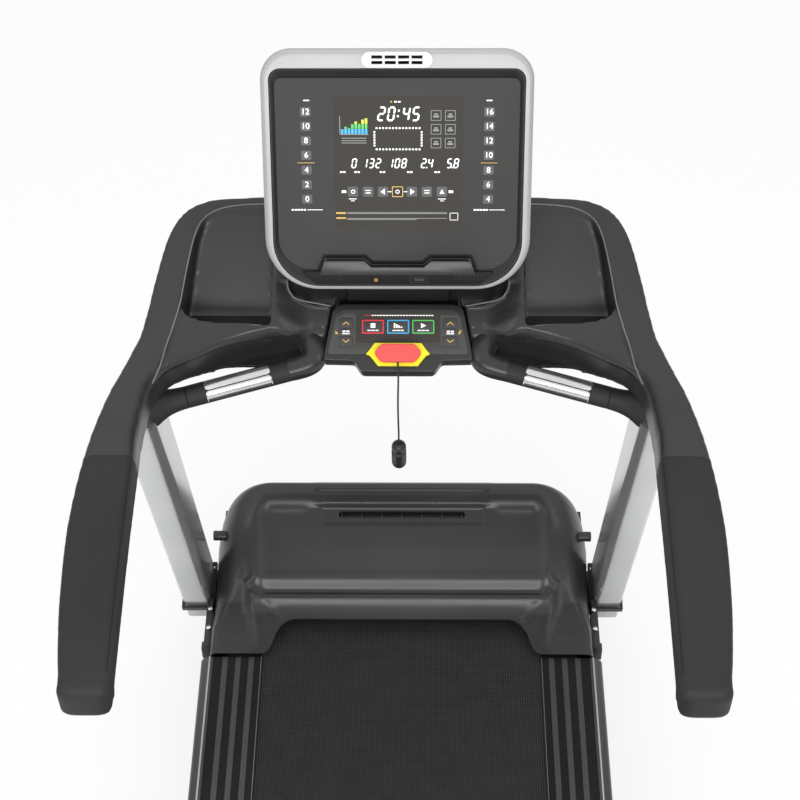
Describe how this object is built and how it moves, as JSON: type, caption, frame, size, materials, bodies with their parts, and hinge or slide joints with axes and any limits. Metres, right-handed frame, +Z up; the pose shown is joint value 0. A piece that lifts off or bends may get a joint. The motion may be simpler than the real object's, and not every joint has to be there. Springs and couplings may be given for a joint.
{
  "type": "treadmill",
  "caption": "Motorised treadmill with a tilting running deck, leaning uprights, a console tray with curved handrail arms, and a reclined display head.",
  "frame": {"origin": "on the floor, under the middle of the machine", "axes": "+X to the runner's right, +Y from the runner to the console, +Z up"},
  "size_m": [0.963, 2.04, 1.5078],
  "materials": {
    "charcoal_plastic": "fine texture",
    "silver_paint": "satin silver",
    "light_grey_paint": "satin",
    "black_steel": "satin",
    "steel": "brushed",
    "rubber": "matt",
    "belt": "woven grip",
    "board": "waxed",
    "display_black": "gloss",
    "yellow_plastic": "gloss",
    "red_plastic": "gloss",
    "white_plastic": "satin",
    "motor_grey": "satin"
  },
  "bodies": {
    "base": {"arm_sleeve_left": "rubber", "arm_sleeve_right": "rubber", "base_cross_front": "black_steel", "base_cross_middle": "black_steel", "base_cross_rear": "black_steel", "base_rail_left": "black_steel", "base_rail_right": "black_steel", "book_ledge": "charcoal_plastic", "display_panel": "display_black", "fan_grille": "white_plastic", "foot_front_left": "rubber", "foot_front_right": "rubber", "foot_rear_left": "rubber", "foot_rear_right": "rubber", "grip_bar_left": "charcoal_plastic", "grip_bar_right": "charcoal_plastic", "head_bezel": "charcoal_plastic", "head_shell": "silver_paint", "incline_motor": "motor_grey", "keypad_panel": "display_black", "keypad_pod": "charcoal_plastic", "pulse_plate_left": "steel", "pulse_plate_right": "steel", "safety_key_seat": "yellow_plastic", "tray_shell": "charcoal_plastic", "tray_underside": "charcoal_plastic", "upright_collar_left": "charcoal_plastic", "upright_collar_right": "charcoal_plastic", "upright_crossbar": "black_steel", "upright_left": "light_grey_paint", "upright_right": "light_grey_paint"},
    "deck": {"deck_beam_left": "black_steel", "deck_beam_right": "black_steel", "running_board": "board", "running_belt": "belt", "foot_rail_left": "charcoal_plastic", "foot_rail_right": "charcoal_plastic", "rear_cover": "charcoal_plastic", "motor_hood": "charcoal_plastic", "motor_pan": "black_steel", "drive_motor": "motor_grey", "drive_belt": "rubber"},
    "front_roller": {"front_roller": "steel"},
    "rear_roller": {"rear_roller": "steel"},
    "motor_rotor": {"motor_rotor": "steel"},
    "lift_arm": {"lift_arm": "black_steel"},
    "lift_screw": {"lift_screw": "steel"},
    "transport_wheel_left": {"transport_wheel_left": "rubber"},
    "transport_wheel_right": {"transport_wheel_right": "rubber"},
    "fan_impeller": {"fan_impeller": "charcoal_plastic"},
    "safety_key": {"safety_key": "red_plastic", "lanyard_cord": "black_steel", "lanyard_clip": "charcoal_plastic"},
    "stop_key": {"stop_key": "display_black"},
    "cool_down_key": {"cool_down_key": "display_black"},
    "start_key": {"start_key": "display_black"},
    "incline_up_key": {"incline_up_key": "display_black"},
    "incline_down_key": {"incline_down_key": "display_black"},
    "speed_up_key": {"speed_up_key": "display_black"},
    "speed_down_key": {"speed_down_key": "display_black"}
  },
  "joints": [
    {"name": "deck_incline", "type": "hinge", "parent": "base", "child": "deck", "pos_m": [0, -0.9, 0.075], "axis": [1, 0, 0], "range_deg": [0, 8.53]},
    {"name": "front_roller_spin", "type": "hinge", "parent": "deck", "child": "front_roller", "pos_m": [0, 0.62, 0.1748], "axis": [1, 0, 0], "continuous": true},
    {"name": "rear_roller_spin", "type": "hinge", "parent": "deck", "child": "rear_roller", "pos_m": [0, -0.93, 0.1748], "axis": [1, 0, 0], "continuous": true},
    {"name": "motor_spin", "type": "hinge", "parent": "deck", "child": "motor_rotor", "pos_m": [0, 0.8, 0.19], "axis": [1, 0, 0], "continuous": true},
    {"name": "lift_arm_tilt", "type": "hinge", "parent": "base", "child": "lift_arm", "pos_m": [0, 0.14, 0.075], "axis": [1, 0, 0], "range_deg": [0, 27.4]},
    {"name": "lift_screw_slide", "type": "slide", "parent": "base", "child": "lift_screw", "axis": [0, -1, 0], "range_m": [0, 0.0208]},
    {"name": "wheel_spin_left", "type": "hinge", "parent": "base", "child": "transport_wheel_left", "pos_m": [-0.262, 0.862, 0.034], "axis": [1, 0, 0], "continuous": true},
    {"name": "wheel_spin_right", "type": "hinge", "parent": "base", "child": "transport_wheel_right", "pos_m": [0.262, 0.862, 0.034], "axis": [1, 0, 0], "continuous": true},
    {"name": "fan_spin", "type": "hinge", "parent": "base", "child": "fan_impeller", "pos_m": [0, 0.73935, 1.48759], "axis": [1, 0, 0], "continuous": true},
    {"name": "stop_press", "type": "slide", "parent": "base", "child": "stop_key", "axis": [0, 0.4848, -0.8746], "range_m": [0, 0.0012], "stiffness_N_per_m": 800},
    {"name": "cool_down_press", "type": "slide", "parent": "base", "child": "cool_down_key", "axis": [0, 0.4848, -0.8746], "range_m": [0, 0.0012], "stiffness_N_per_m": 800},
    {"name": "start_press", "type": "slide", "parent": "base", "child": "start_key", "axis": [0, 0.4848, -0.8746], "range_m": [0, 0.0012], "stiffness_N_per_m": 800},
    {"name": "incline_up_press", "type": "slide", "parent": "base", "child": "incline_up_key", "axis": [0, 0.4848, -0.8746], "range_m": [0, 0.0012], "stiffness_N_per_m": 800},
    {"name": "incline_down_press", "type": "slide", "parent": "base", "child": "incline_down_key", "axis": [0, 0.4848, -0.8746], "range_m": [0, 0.0012], "stiffness_N_per_m": 800},
    {"name": "speed_up_press", "type": "slide", "parent": "base", "child": "speed_up_key", "axis": [0, 0.4848, -0.8746], "range_m": [0, 0.0012], "stiffness_N_per_m": 800},
    {"name": "speed_down_press", "type": "slide", "parent": "base", "child": "speed_down_key", "axis": [0, 0.4848, -0.8746], "range_m": [0, 0.0012], "stiffness_N_per_m": 800},
    {"name": "safety_key_pull", "type": "slide", "parent": "base", "child": "safety_key", "axis": [0, -0.4848, 0.8746], "range_m": [0, 0.03]}
  ],
  "couplings": [
    {"joint": "rear_roller_spin", "follows": "front_roller_spin", "ratio": 1},
    {"joint": "motor_spin", "follows": "front_roller_spin", "ratio": 1.8889},
    {"joint": "lift_arm_tilt", "follows": "deck_incline", "ratio": 3.2},
    {"joint": "lift_screw_slide", "follows": "deck_incline", "m_per_rad": 0.1386}
  ]
}
